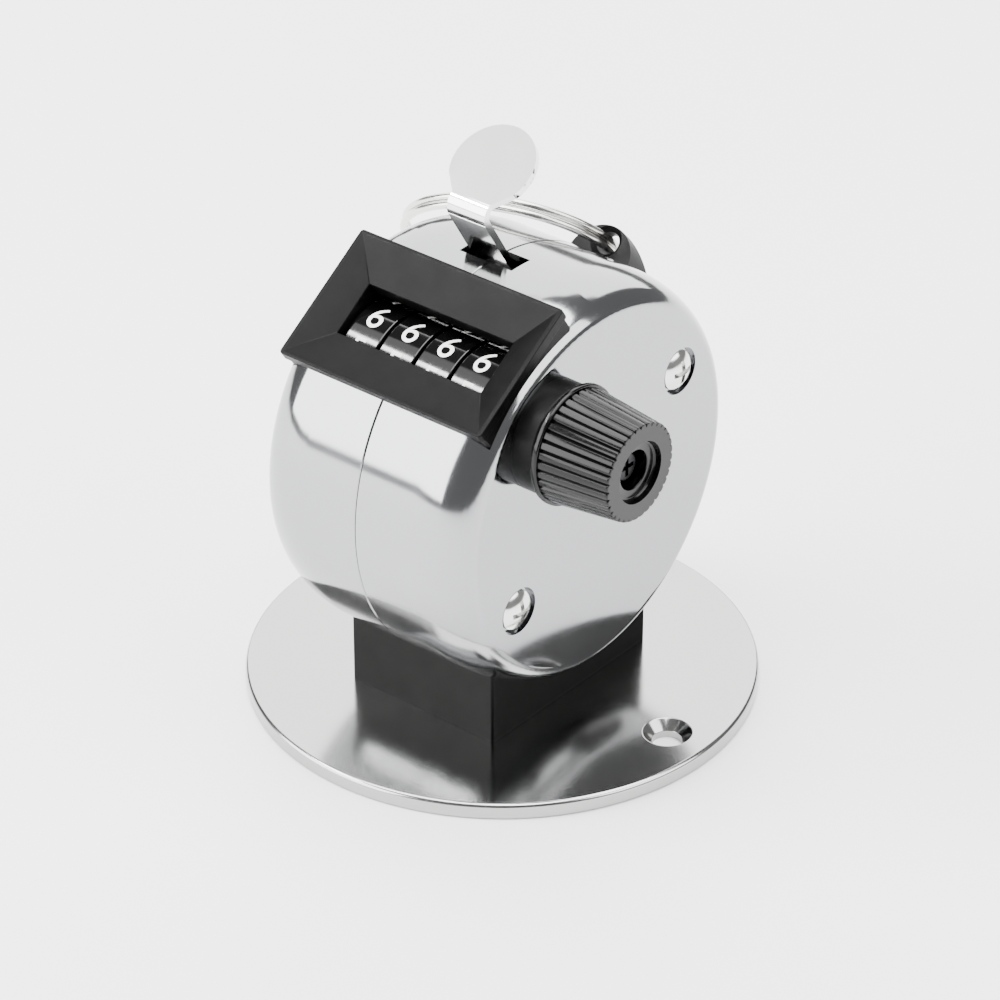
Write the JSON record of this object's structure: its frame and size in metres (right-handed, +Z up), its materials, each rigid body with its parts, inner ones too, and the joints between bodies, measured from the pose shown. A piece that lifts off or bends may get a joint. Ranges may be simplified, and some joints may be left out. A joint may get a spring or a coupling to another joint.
{
  "type": "tally counter",
  "caption": "Hand tally counter on a round screw-down base: drum case, thumb lever, number wheels behind a sloped window, fluted reset knob and a split ring.",
  "frame": {"origin": "bottom centre of the round base plate", "axes": "+Z up, -Y towards the window side, +X towards the reset knob"},
  "size_m": [0.055, 0.055, 0.0634],
  "materials": {
    "base_steel": "satin nickel-plated steel",
    "case_steel": "polished nickel-chrome plate",
    "case_steel_bright": "bright plated screw",
    "lever_chrome": "bright chrome plate",
    "ring_steel": "bright nickel plate",
    "zinc": "zinc-plated steel",
    "zinc_black": "blackened steel",
    "spring_steel": "spring steel",
    "brass": "turned brass",
    "black_plastic": "satin moulded black",
    "knob_plastic": "glossy moulded black",
    "wheel_plastic": "glossy black with white numerals",
    "white_plastic": "natural acetal"
  },
  "bodies": {
    "case": {"base_plate": "base_steel", "base_screws": "zinc", "pedestal": "black_plastic", "anchor_bar": "zinc", "left_shell": "case_steel", "right_shell": "case_steel", "tie_posts": "zinc", "case_screws": "case_steel_bright", "window_bezel": "black_plastic", "left_frame_plate": "zinc", "right_frame_plate": "zinc", "frame_pillars": "zinc", "carrier_rod": "zinc", "lever_pin": "zinc", "spring_seat": "zinc", "knob_collar": "black_plastic", "tens_carrier": "zinc", "hundreds_carrier": "zinc", "thousands_carrier": "zinc", "back_stop": "spring_steel", "ring_lug": "black_plastic", "lever_spring": "spring_steel"},
    "knob": {"drum_shaft": "zinc", "shaft_clip": "spring_steel", "shaft_collar": "brass", "reset_knob": "knob_plastic", "knob_screw": "zinc_black"},
    "units": {"units_wheel": "wheel_plastic", "ratchet_wheel": "brass"},
    "tens": {"tens_wheel": "wheel_plastic"},
    "hundreds": {"hundreds_wheel": "wheel_plastic"},
    "thousands": {"thousands_wheel": "wheel_plastic"},
    "tens_pinion": {"tens_carry_pinion": "white_plastic"},
    "hundreds_pinion": {"hundreds_carry_pinion": "white_plastic"},
    "thousands_pinion": {"thousands_carry_pinion": "white_plastic"},
    "lever": {"thumb_lever": "lever_chrome", "drive_pawl": "spring_steel"},
    "ring": {"split_ring": "ring_steel"}
  },
  "joints": [
    {"name": "reset_knob_turn", "type": "hinge", "parent": "case", "child": "knob", "pos_m": [0, -0.00935, 0.0391], "axis": [1, 0, 0], "continuous": true},
    {"name": "units_wheel_turn", "type": "hinge", "parent": "case", "child": "units", "pos_m": [0, -0.00935, 0.0391], "axis": [1, 0, 0], "continuous": true},
    {"name": "tens_wheel_turn", "type": "hinge", "parent": "case", "child": "tens", "pos_m": [0, -0.00935, 0.0391], "axis": [1, 0, 0], "continuous": true},
    {"name": "hundreds_wheel_turn", "type": "hinge", "parent": "case", "child": "hundreds", "pos_m": [0, -0.00935, 0.0391], "axis": [1, 0, 0], "continuous": true},
    {"name": "thousands_wheel_turn", "type": "hinge", "parent": "case", "child": "thousands", "pos_m": [0, -0.00935, 0.0391], "axis": [1, 0, 0], "continuous": true},
    {"name": "tens_pinion_turn", "type": "hinge", "parent": "case", "child": "tens_pinion", "pos_m": [0, -0.00585, 0.0391], "axis": [1, 0, 0], "continuous": true},
    {"name": "hundreds_pinion_turn", "type": "hinge", "parent": "case", "child": "hundreds_pinion", "pos_m": [0, -0.00585, 0.0391], "axis": [1, 0, 0], "continuous": true},
    {"name": "thousands_pinion_turn", "type": "hinge", "parent": "case", "child": "thousands_pinion", "pos_m": [0, -0.00585, 0.0391], "axis": [1, 0, 0], "continuous": true},
    {"name": "thumb_lever_press", "type": "hinge", "parent": "case", "child": "lever", "pos_m": [0, -0.00543, 0.04666], "axis": [-1, 0, 0], "range_deg": [0, 14], "stiffness_Nm_per_rad": 0.05, "springref_deg": -22.92, "deforming": ["lever_spring"]},
    {"name": "split_ring_swing", "type": "hinge", "parent": "case", "child": "ring", "pos_m": [0, 0.01807, 0.04401], "axis": [0, 0.682, -0.7314], "range_deg": [0, 210]}
  ],
  "couplings": [
    {"joint": "tens_pinion_turn", "follows": "tens_wheel_turn", "ratio": 3.3333},
    {"joint": "hundreds_pinion_turn", "follows": "hundreds_wheel_turn", "ratio": 3.3333},
    {"joint": "thousands_pinion_turn", "follows": "thousands_wheel_turn", "ratio": 3.3333}
  ]
}
